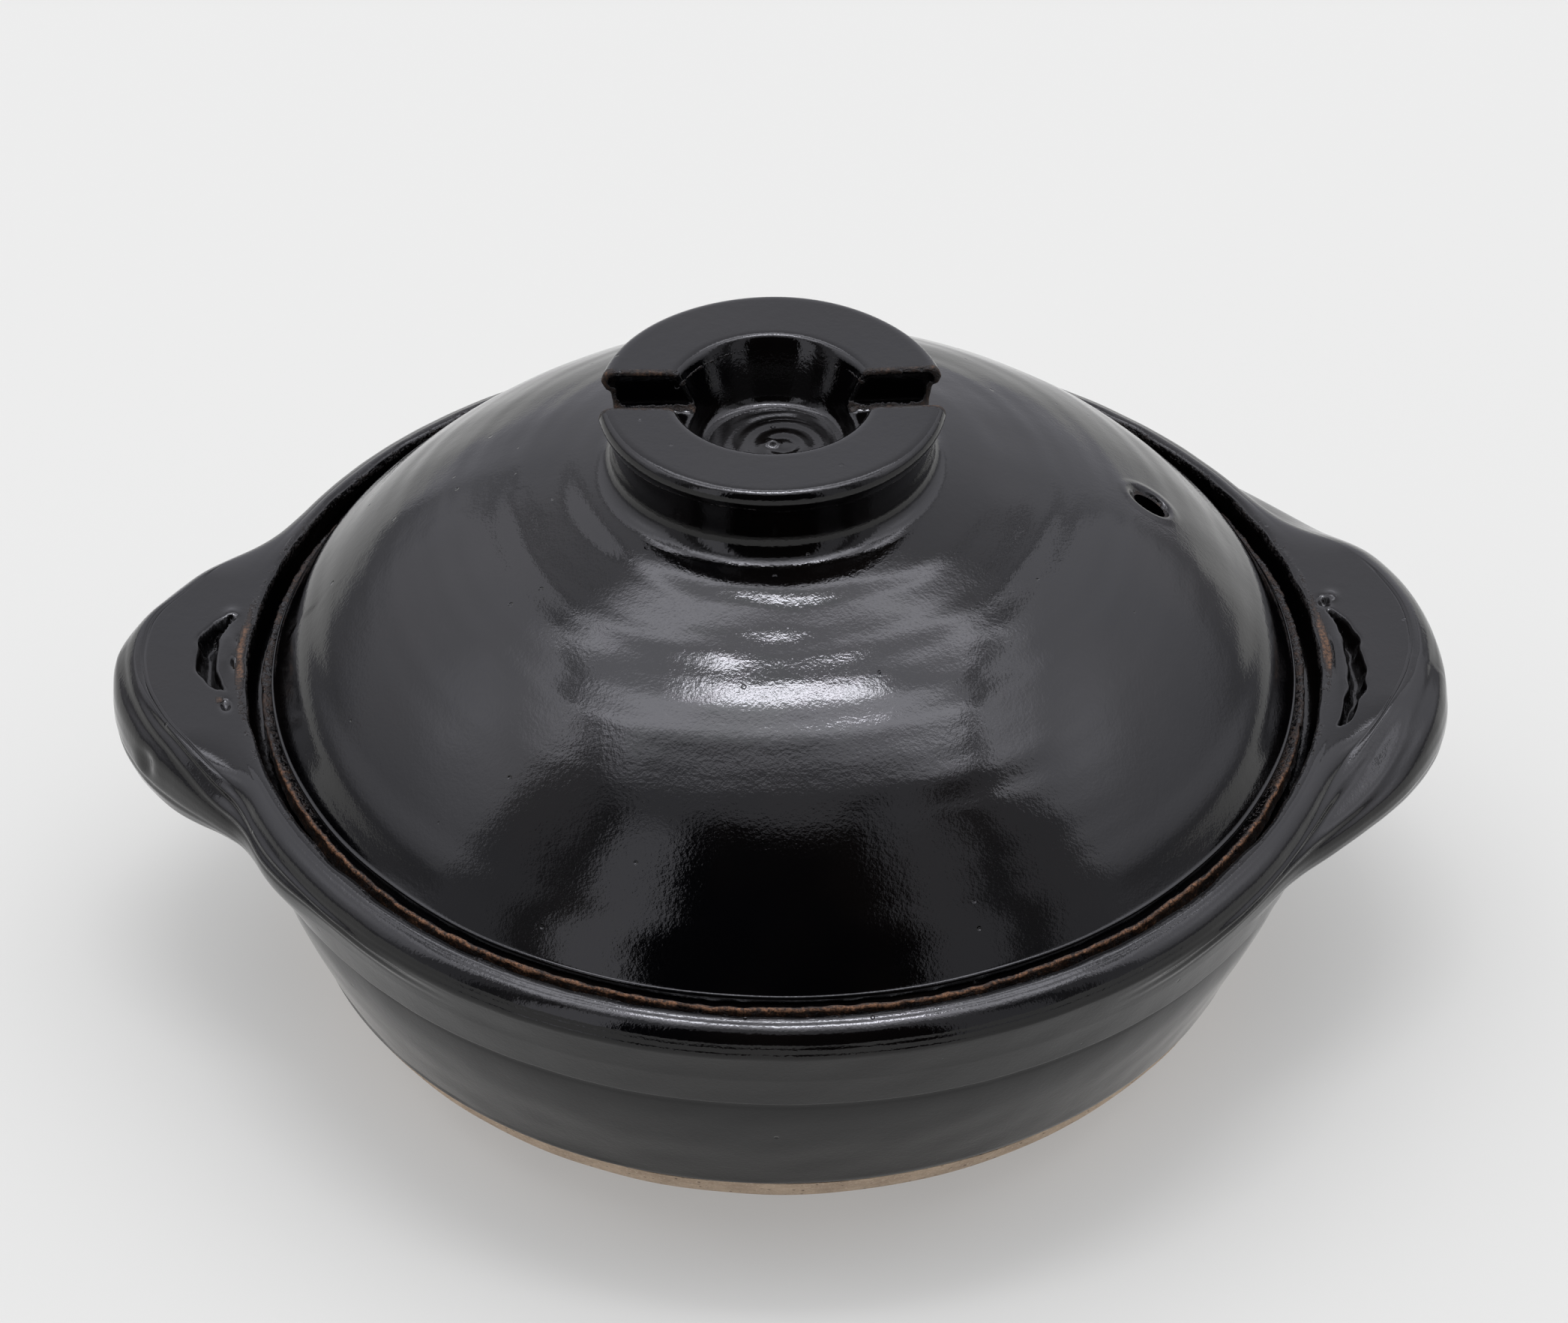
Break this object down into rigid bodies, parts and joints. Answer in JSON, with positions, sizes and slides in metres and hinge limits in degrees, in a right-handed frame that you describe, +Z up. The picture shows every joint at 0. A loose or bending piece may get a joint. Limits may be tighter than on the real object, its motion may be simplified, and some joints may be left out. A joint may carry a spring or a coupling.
{
  "type": "lidded stoneware hot pot",
  "caption": "Wide lidded stoneware cooking pot in glossy black glaze, with side lugs, a bare clay base, and a domed lid with a notched ring knob and a steam hole.",
  "frame": {"origin": "centre of the foot, on the surface that the pot stands on", "axes": "+Z up through the knob; +X through the right lug, along the greatest width; +Y to the back"},
  "size_m": [0.2988, 0.252, 0.151],
  "materials": {
    "black_glaze": "glossy",
    "bare_clay": "matte, fine sandy grain",
    "toasted_clay": "matte, rough brown"
  },
  "bodies": {
    "pot": {"base": "bare_clay", "bowl_wall": "black_glaze", "rim_collar": "black_glaze", "left_lug": "black_glaze", "right_lug": "black_glaze"},
    "lid": {"lid_dome": "black_glaze", "lid_flange": "toasted_clay", "knob": "black_glaze"}
  },
  "joints": [
    {"name": "lid_lift", "type": "slide", "parent": "pot", "child": "lid", "axis": [0, 0, 1], "range_m": [0, 0.16]}
  ]
}
